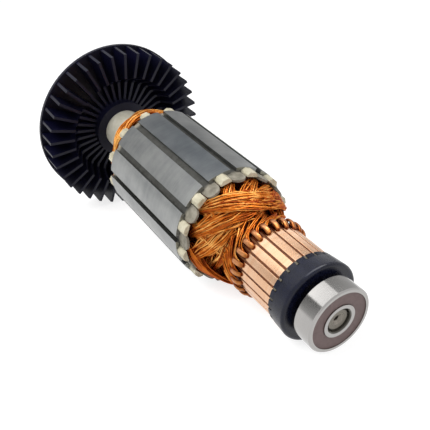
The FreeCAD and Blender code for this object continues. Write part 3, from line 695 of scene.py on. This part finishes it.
coils = {
    "pairs": 6, "span": 150.0, "pitch": 30.0,
    # wire is its radius, and a bundle has so many turns across and deep
    "wire": 0.25, "across": 15, "deep": 2, "sides": 6, "samples": 44, "seed": 4,
    "slotTop": 16.7, "slotBottom": 15.8, "slotAngle": (2.4, 7.4), "slotStations": (1.2, -1.5, -4.0),
    # how far turns stray, as shares of the band's half width and half depth; towards the
    # slot they wander less, and the layers come together
    "strayAcross": 0.09, "strayDeep": 0.25, "wander": 0.22, "wanderEase": 3,
    "layerEase": 2.2,
    # half the depth of a bundle over the core's end, at the slot's mouth and in the slot
    "halfDepth": 0.33, "mouthDepth": 1.3, "slotDepth": 1.15,
    # the share of the way at which turns start to gather, and over which they do
    "gatherFrom": 0.6, "gatherOver": 0.32, "gatherEase": 1.4,
    # the first coil of each pair is darker than the second
    "tones": (0.4, 1.0),
}

# For each share of the way from mid-span to the slot: how far the two edges of the
# band lie from the core, and the radius of the uppermost layer's middle. Each layer lies
# a step below the next, and lean tips the band's far edge towards the shaft.
frontEnd = {
    "face": core["first"], "way": -1,
    "share": (0.0, 0.2, 0.4, 0.6, 0.8, 0.9, 0.97),
    "near": (9.6, 9.0, 7.6, 5.6, 3.6, 2.6, 2.0),
    "far": (16.0, 15.6, 14.6, 12.0, 8.2, 5.4, 3.4),
    "radius": (15.1, 15.3, 16.1, 17.2, 18.1, 18.0, 17.4),
    "lean": 0.32, "step": 1.15,
}
rearEnd = {
    "face": core["last"], "way": 1,
    "share": (0.0, 0.2, 0.4, 0.6, 0.8, 0.9, 0.97),
    "near": (7.0, 6.4, 5.0, 4.0, 3.4, 2.6, 2.0),
    "far": (14.2, 13.9, 11.6, 8.6, 6.0, 4.4, 3.0),
    "radius": (16.4, 17.0, 18.2, 19.0, 19.0, 18.2, 17.2),
    "lean": 0.25, "step": 1.2,
}
shares = np.array([0.95, 0.87, 0.77, 0.63, 0.47, 0.3, 0.1])  # where control points stand


def coilControls(end, layer, startAngle, chance):
    # control points of one bundle: s, r and angle for each turn and each station
    count = coils["across"] * coils["deep"]
    across = np.repeat(np.linspace(-1, 1, coils["across"]), coils["deep"])
    deep = np.tile(np.linspace(-1, 1, coils["deep"]), coils["across"])
    across = across + chance.normal(0, coils["strayAcross"], count)
    deep = deep + chance.normal(0, coils["strayDeep"], count)
    level = (np.arange(count) % 4 - 1.5) / 1.5  # four levels, from -1 to 1
    share = np.concatenate([shares, -shares[::-1]])
    size = np.abs(share)
    near, far, top = (np.interp(size, end["share"], end[key]) for key in ("near", "far", "radius"))
    wander = chance.normal(0, coils["wander"], (count, len(share)))
    wander = wander * (1 - size ** coils["wanderEase"])
    away = (near + far) / 2 - (across[:, None] + wander) * (far - near) / 2
    s = end["face"] + end["way"] * away
    under = (coils["pairs"] - 1 - layer) * end["step"] * (1 - size ** coils["layerEase"])
    r = top - under + end["lean"] * ((near + far) / 2 - away) + coils["halfDepth"] * deep[:, None]
    # towards each slot the bundle sinks to its own half of the slot
    exits = (coils["slotTop"] if layer == coils["pairs"] - 1 else coils["slotBottom"],
             coils["slotBottom"] if layer == 0 else coils["slotTop"])
    gather = np.clip((size - coils["gatherFrom"]) / coils["gatherOver"], 0, 1)
    gather = gather ** coils["gatherEase"]
    goal = np.where(share > 0, exits[0], exits[1])
    r = r * (1 - gather) + (goal + level[:, None] * coils["mouthDepth"]) * gather
    low, high = coils["slotAngle"]
    aside = low + (0.5 + 0.5 * across) * (high - low)
    angle = startAngle + coils["span"] / 2 * (1 - share)
    angle = angle + np.sign(share) * (aside[:, None] * gather)
    body = np.stack([s, r, np.broadcast_to(angle, s.shape)], -1)
    stations = end["face"] + end["way"] * np.array(coils["slotStations"])
    ends = []
    for index, way in ((0, 1), (1, -1)):
        height = exits[index] + level * coils["slotDepth"]
        turn = startAngle + index * coils["span"] + way * aside
        ends.append(np.stack(np.broadcast_arrays(stations, height[:, None], turn[:, None]), -1))
    return np.concatenate([ends[0][:, ::-1], body, ends[1]], 1)


def coilPair(layer, chance):
    # the bundle's control points carried to places, then smoothed by the spline's weights
    weights = splineWeights(2 * (len(shares) + len(coils["slotStations"])), coils["samples"])
    grids, tones = [], []
    for half in (0, 1):
        startAngle = coils["pitch"] * (layer - 1) + 180 * half
        for end in (frontEnd, rearEnd):
            controls = coilControls(end, layer, startAngle, chance)
            controls = place(controls[..., 0], controls[..., 1], controls[..., 2])
            paths = np.einsum("nk,wkc->wnc", weights, controls)
            grids.append(sweepWire(paths, coils))
            tones.append(chance.uniform(0, 1, len(paths)) * coils["tones"][half])
    return makePiece("windings_%d" % (layer + 1), np.concatenate(grids),
                     "windingCopper", replaces=["coil_pair_%d" % (layer + 1)],
                     tone=np.concatenate(tones))


chance = np.random.default_rng(coils["seed"])
for layer in range(coils["pairs"]):
    coilPair(layer, chance)
print("windings wound")


# Commutator: 24 copper bars, the strips of insulation between them, and a hook on
# each bar, folded back over the wires and welded down

barAngles = np.arange(commutator["bars"]) * 360 / commutator["bars"]


def roundedSector(low, high, half, corner):
    # r and angle round a sector with rounded corners: each corner is a quarter turn,
    # and the outer face has points between them so that it follows its radius
    quarter = np.linspace(0, math.pi / 2, commutator["cornerPoints"])
    count = commutator["facePoints"]
    inAngle = np.degrees(corner * (1 - np.sin(quarter)) / high)
    topR = high - corner * (1 - np.cos(quarter[::-1]))
    face = np.linspace(-1, 1, count + 2)[1:-1] * (half - np.degrees(corner / high))
    r = np.concatenate([[low], topR, np.full(count, high), topR[::-1], [low]])
    angle = np.concatenate([[-half], -half + inAngle[::-1], face, half - inAngle, [half]])
    return r, angle


def sectorSweep(low, high, half, corner, stations, shrink, angles):
    # the sector carried along the shaft; shrink draws it in towards its middle at each station
    r, angle = roundedSector(low, high, half, corner)
    centre = (low + high) / 2
    shrink = np.array(shrink)[:, None]
    r = centre + (r - centre) * (1 - shrink)
    angle = angle * (1 - shrink)
    return place(np.array(stations)[None, :, None], r[None], angle[None] + angles[:, None, None])


def commutatorBars():
    first, last, edge = bars["first"], bars["last"], commutator["edge"]
    half = (360 / commutator["bars"] - commutator["gap"]) / 2
    grid = sectorSweep(commutator["root"], commutator["face"], half, commutator["corner"],
                       (first, first + edge, (first + last) / 2, last - edge, last),
                       (commutator["edgeShrink"], 0.0, 0.0, 0.0, commutator["edgeShrink"]),
                       barAngles)
    nodes = ["commutator_bar_%02d" % (i + 1) for i in range(commutator["bars"])]
    return makePiece("commutator_bars", grid, "barCopper", replaces=nodes,
                     smooth=False)


def barStrips():
    # the strips between the bars, and the short spots at their front ends
    size = commutator
    gaps = barAngles + 180 / size["bars"]
    strips = sectorSweep(size["root"] - size["stripDepth"], size["stripFace"],
                         size["gap"] / 2 + size["stripOverlap"], size["stripCorner"],
                         (size["stripFront"], bars["last"] - size["stripShort"]), (0.0, 0.0),
                         gaps)
    spots = sectorSweep(size["stripFace"] - size["stripDepth"], size["spotFace"],
                        size["spotHalf"], size["stripCorner"],
                        (size["spotFront"], size["spotRear"]), (0.0, 0.0), gaps)
    return makePiece("commutator_strips", np.concatenate([strips, spots]),
                     "stripCompound", smooth=False)


def blunted(wave, power):
    return np.sign(wave) * np.abs(wave) ** power


def commutatorHooks():
    # a flat rounded strip carried along the hook's middle line
    size = commutator
    weights = splineWeights(len(size["hookS"]), size["hookSamples"])
    s, r, flare = (weights @ np.array(size[key]) for key in ("hookS", "hookR", "hookFlare"))
    paths = place(s[None], r[None], barAngles[:, None])
    across = np.stack([outward(barAngles + 90)] * len(s), 1)
    turn = np.linspace(0, 2 * math.pi, size["hookSides"], endpoint=False)
    wide = blunted(np.cos(turn), size["hookBlunt"][0])
    thick = blunted(np.sin(turn), size["hookBlunt"][1])
    chance = np.random.default_rng(size["hookSeed"])
    vary = 1 + chance.normal(0, size["hookVary"], (len(paths), 1))
    widths = size["hookWide"] * flare * vary
    thicks = size["hookThick"] * np.linspace(1, size["hookThicker"], len(s))
    normal = np.cross(unit(np.gradient(paths, axis=1)), across)
    grid = paths[:, :, None] + mm * (
        widths[..., None, None] * wide[:, None] * across[:, :, None]
        + thicks[..., None, None] * thick[:, None] * normal[:, :, None])
    return makePiece("commutator_hooks", grid, "hookCopper")


commutatorBars()
barStrips()
commutatorHooks()
print("commutator built")


# Shaft: turned, its front end set back in the bearing's inner ring. Lengths run back
# from the rear end.

shaftSizes = {
    "inset": 0.9, "hole": 0.9, "mouth": 1.8, "holeDepth": 3.4, "holeTip": 0.02, "corner": 0.6,
    "bearingSeat": 4.0, "commutatorSeat": 5.0, "coreSeat": 6.0, "driveJournal": 5.0,
    "driveEnd": 4.0, "driveEndLength": 12.0, "driveJournalLength": 9.0, "chamfer": 0.6,
    "columns": 96, "sharpFrom": 30,
}


def turnedShaft():
    # the profile's s and r turned right round the axis
    size = shaftSizes
    front, rear = size["inset"], cadShaft["last"]
    journal = rear - size["driveEndLength"]
    step = size["mouth"] - size["hole"]
    profile = [
        (front + size["holeDepth"], size["holeTip"]),
        (front + size["holeDepth"] - size["hole"] / 2, size["hole"]),
        (front + step, size["hole"]), (front, size["mouth"]),
        (front, size["bearingSeat"] - size["corner"]),
        (front + size["corner"], size["bearingSeat"]),
        (bearing["last"], size["bearingSeat"]), (bearing["last"], size["commutatorSeat"]),
        (bars["last"], size["commutatorSeat"]), (bars["last"], size["coreSeat"]),
        (journal - size["driveJournalLength"], size["coreSeat"]),
        (journal - size["driveJournalLength"], size["driveJournal"]),
        (journal, size["driveJournal"]), (journal, size["driveEnd"]),
        (rear - size["chamfer"], size["driveEnd"]), (rear, size["driveEnd"] - size["chamfer"]),
        (rear, size["mouth"]), (rear - step, size["hole"]),
        (rear - size["holeDepth"] + size["hole"] / 2, size["hole"]),
        (rear - size["holeDepth"], size["holeTip"]),
    ]
    s, r = np.array(profile).T
    turn = np.linspace(0, 360, size["columns"], endpoint=False)
    grid = place(s[None, :, None], r[None, :, None], turn[None, None])
    piece = makePiece("turned_shaft", grid, "shaftSteel", replaces=["shaft"])
    piece.data.set_sharp_from_angle(angle=math.radians(size["sharpFrom"]))
    return piece


turnedShaft()
print("shaft turned")


# Leads from the windings to the hooks

leads = {
    "perHook": 4, "wire": 0.24, "apart": 4.2, "sides": 6, "samples": 36, "seed": 11,
    "stations": (32.0, 33.2, 34.3, 35.3, 36.2, 37.1, 38.3, 40.2),
    "radius": (12.95, 13.05, 13.3, 13.45, 13.5, 13.5, 13.4, 12.8),
    "sweep": (0.0, 0.02, 0.08, 0.2, 0.4, 0.6, 0.8, 1.0),
    "turn": (26, 60), "tones": (0.05, 0.75),
    # how far the leads have strayed along and out at their last station
    "strayAlong": 0.75, "strayOut": (-0.9, 0.5), "strayEase": 1.3,
}


def leadWires():
    # s and r from the table of stations, and the angle from the hook's plus the sweep
    chance = np.random.default_rng(leads["seed"])
    count = commutator["bars"] * leads["perHook"]
    hook = np.repeat(barAngles, leads["perHook"])
    side = np.tile(np.linspace(-1, 1, leads["perHook"]), commutator["bars"])
    turn = chance.uniform(*leads["turn"], count)
    way = np.linspace(0, 1, len(leads["stations"]))
    s = np.array(leads["stations"]) + chance.normal(0, leads["strayAlong"], (count, 1)) * way
    strayOut = chance.uniform(*leads["strayOut"], (count, 1)) * way ** leads["strayEase"]
    r = np.array(leads["radius"]) + strayOut
    angle = (hook + side * leads["apart"] / 2)[:, None] + turn[:, None] * np.array(leads["sweep"])
    weights = splineWeights(len(leads["stations"]), leads["samples"])
    paths = np.einsum("nk,wkc->wnc", weights, place(s, r, angle))
    return makePiece("commutator_leads", sweepWire(paths, leads),
                     "windingCopper", tone=chance.uniform(*leads["tones"], count))


leadWires()
print("leads laid")


# Studio: a white floor, a broad lamp up to the left and a weaker one to the right.
# Lamps stand to the picture's right, up, and towards the camera, in metres.

white = (1, 1, 1, 1)
studio = {
    "keyPower": 6.0, "keySize": 0.6, "keyPlace": (-0.42, 0.55, 0.12),
    "fillPower": 1.8, "fillSize": 0.5, "fillPlace": (0.55, 0.3, 0.35),
    "ambient": 0.5, "mirroredSky": 0.85,
    "floorSize": 8.0, "floorPaint": (0.9, 0.9, 0.9, 1), "floorRoughness": 0.9,
    "floorGlow": 0.6, "floorShine": 1.3, "mirroredGlow": 0.9, "mirroredShine": 1.0,
    "cardRows": 4, "cardColumns": 7,
}
# Dark and bright cards, seen only in shiny surfaces. Each stands where the camera sees it
# mirrored in a cylinder of radius r, between two stations s and two angles. Its shades are
# those at the first station's two angles, and then at the second station's.
cards = {
    "leftOfCore": {"r": 20.5, "s": (50, 108), "angles": (-61, -31), "far": 200,
                   "shade": ((1.1, 1.25), (0.2, 0.2))},
    "overCore": {"r": 20.5, "s": (50, 108), "angles": (-31, -1), "far": 200,
                 "shade": ((0.3, 0.3), (0.05, 0.05)), "tint": (0.75, 0.95, 1.25, 1)},
    "rightOfCore": {"r": 20.5, "s": (50, 108), "angles": (-1, 42), "far": 200,
                    "shade": ((0.55, 0.55), (0.35, 0.35))},
    "leftOfBars": {"r": 12.5, "s": (14, 33), "angles": (-53, -22), "far": 150,
                   "shade": ((1.4, 1.5), (1.6, 2.6))},
    "overBars": {"r": 12.5, "s": (14, 33), "angles": (-22, 24), "far": 150,
                 "shade": ((0.0, 0.3), (2.2, 1.9))},
    "rightOfBars": {"r": 12.5, "s": (14, 33), "angles": (24, 50), "far": 150,
                    "shade": ((0.3, 0.3), (0.9, 0.9))},
    "leftOfCollar": {"r": 12.8, "s": (8.5, 14), "angles": (-62, -44), "far": 135,
                     "shade": ((0.0, 0.0), (0.0, 0.0))},
    "overCollar": {"r": 12.8, "s": (8.5, 14), "angles": (-44, -12), "far": 135,
                   "shade": ((2.2, 1.0), (2.2, 1.0))},
    "rightOfCollar": {"r": 12.8, "s": (8.5, 14), "angles": (-12, 12), "far": 135,
                      "shade": ((0.0, 0.0), (0.0, 0.0))},
    "leftOfBearing": {"r": 11, "s": (-2, 9), "angles": (-66, -43), "far": 120,
                      "shade": ((0.55, 0.05), (0.55, 0.05))},
    "overBearing": {"r": 11, "s": (-2, 9), "angles": (-43, -12), "far": 120,
                    "shade": ((1.9, 1.5), (1.9, 1.5))},
    "rightOfBearing": {"r": 11, "s": (-2, 9), "angles": (-12, 44), "far": 120,
                       "shade": ((0.35, 0.65), (0.35, 0.65))},
}
# A broad bright card above the windings, out of the way of the mirrored ones
softCard = {"s": (-60, 90), "side": (-60, 150), "above": 210, "shade": (3.8, 6.6)}
target = place(70.0, 0.0, 0.0)


def areaLamp(name, power, size, where):
    # placed from the object along the picture's right, up and towards the camera
    data = bpy.data.lights.new(name, "AREA")
    data.energy = power
    data.shape = "DISK"
    data.size = size
    lamp = addObject(name, data)
    lamp.visible_glossy = False
    spot = target + where[0] * viewRight + where[2] * viewBack
    spot[2] += where[1]
    lamp.location = Vector(spot.tolist())
    lamp.rotation_mode = "QUATERNION"
    lamp.rotation_quaternion = Vector((target - spot).tolist()).to_track_quat("-Z", "Y")
    return lamp


def makeWorld():
    world = bpy.data.worlds.new("studio")
    scene.world = world
    world.use_nodes = True
    tree = world.node_tree
    tree.nodes.clear()
    path = addNode(tree, "ShaderNodeLightPath").outputs
    seen = math2(tree, "MAXIMUM", path["Is Camera Ray"], path["Is Transmission Ray"])
    mirrored = math2(tree, "MULTIPLY", path["Is Glossy Ray"], studio["mirroredSky"])
    strength = math2(tree, "MAXIMUM", math2(tree, "MAXIMUM", seen, mirrored), studio["ambient"])
    shine = addNode(tree, "ShaderNodeBackground", {"Color": white, "Strength": strength})
    end = addNode(tree, "ShaderNodeOutputWorld")
    tree.links.new(shine.outputs[0], end.inputs["Surface"])


def makeFloor():
    half = studio["floorSize"] / 2
    mesh = bpy.data.meshes.new("floor")
    mesh.from_pydata([(-half, -half, 0), (half, -half, 0), (half, half, 0), (-half, half, 0)],
                     [], [(0, 1, 2, 3)])
    floor = addObject("floor", mesh)
    material, tree, shader = newMaterial("floorWhite", studio["floorRoughness"],
                                         Base_Color=studio["floorPaint"])
    path = addNode(tree, "ShaderNodeLightPath").outputs
    lower = math2(tree, "MULTIPLY", path["Is Glossy Ray"],
                  studio["floorShine"] - studio["mirroredShine"])
    strength = math2(tree, "SUBTRACT", studio["floorShine"], lower)
    glow = addNode(tree, "ShaderNodeEmission", {"Color": white, "Strength": strength})
    seen = math2(tree, "MAXIMUM",
                 math2(tree, "MULTIPLY", path["Is Camera Ray"], studio["floorGlow"]),
                 math2(tree, "MULTIPLY", path["Is Glossy Ray"], studio["mirroredGlow"]))
    mix = addNode(tree, "ShaderNodeMixShader", {0: seen})
    tree.links.new(shader.outputs[0], mix.inputs[1])
    tree.links.new(glow.outputs[0], mix.inputs[2])
    tree.links.new(mix.outputs[0], tree.nodes["Material Output"].inputs["Surface"])
    mesh.materials.append(material)


def mirrorGrid(card):
    # each corner is the cylinder's point plus the mirrored line of sight times the distance
    rows, columns = studio["cardRows"], studio["cardColumns"]
    angle = np.linspace(*card["angles"], columns)[None]
    spot = place(np.linspace(*card["s"], rows)[:, None], card["r"], angle)
    out = np.broadcast_to(outward(angle), spot.shape)
    sight = unit(spot - eye)
    mirrored = sight - 2 * (sight * out).sum(-1, keepdims=True) * out
    across = np.linspace(0, 1, columns)[None]
    ends = [low * (1 - across) + high * across for low, high in card["shade"]]
    ahead = np.linspace(0, 1, rows)[:, None]
    return spot + card["far"] * mm * mirrored, ends[0] * (1 - ahead) + ends[1] * ahead


def softGrid(card):
    # a plane square to above, its shade given for each of its two sides
    s, side = np.meshgrid(card["s"], card["side"], indexing="ij")
    spot = start + mm * (s[..., None] * along + side[..., None] * sideways + card["above"] * above)
    return spot, np.tile(card["shade"], (2, 1))


def makeCard(name, grid, shade, tint):
    rows, columns = grid.shape[:2]
    i, j = np.meshgrid(np.arange(rows - 1), np.arange(columns - 1), indexing="ij")
    first = i * columns + j
    faces = np.stack([first, first + 1, first + columns + 1, first + columns], -1).reshape(-1, 4)
    mesh = bpy.data.meshes.new(name)
    mesh.from_pydata(grid.reshape(-1, 3).tolist(), [], faces.tolist())
    pointValues(mesh, "shade", shade.ravel())
    holder = addObject(name, mesh)
    mesh.materials.append(glowMaterial(name + "Glow", tint))
    for ray in ("camera", "diffuse", "transmission", "shadow"):
        setattr(holder, "visible_" + ray, False)


def glowMaterial(name, tint):
    material = bpy.data.materials.new(name)
    material.use_nodes = True
    tree = material.node_tree
    tree.nodes.clear()
    shade = addNode(tree, "ShaderNodeAttribute", attribute_name="shade").outputs["Fac"]
    glow = addNode(tree, "ShaderNodeEmission", {"Color": tint, "Strength": shade})
    end = addNode(tree, "ShaderNodeOutputMaterial")
    tree.links.new(glow.outputs[0], end.inputs["Surface"])
    return material


for name, card in cards.items():
    makeCard(name, *mirrorGrid(card), card.get("tint", white))
makeCard("softCard", *softGrid(softCard), white)
areaLamp("key", studio["keyPower"], studio["keySize"], studio["keyPlace"])
areaLamp("fill", studio["fillPower"], studio["fillSize"], studio["fillPlace"])
makeWorld()
makeFloor()
scene.view_settings.view_transform = "Standard"
print("studio lit")
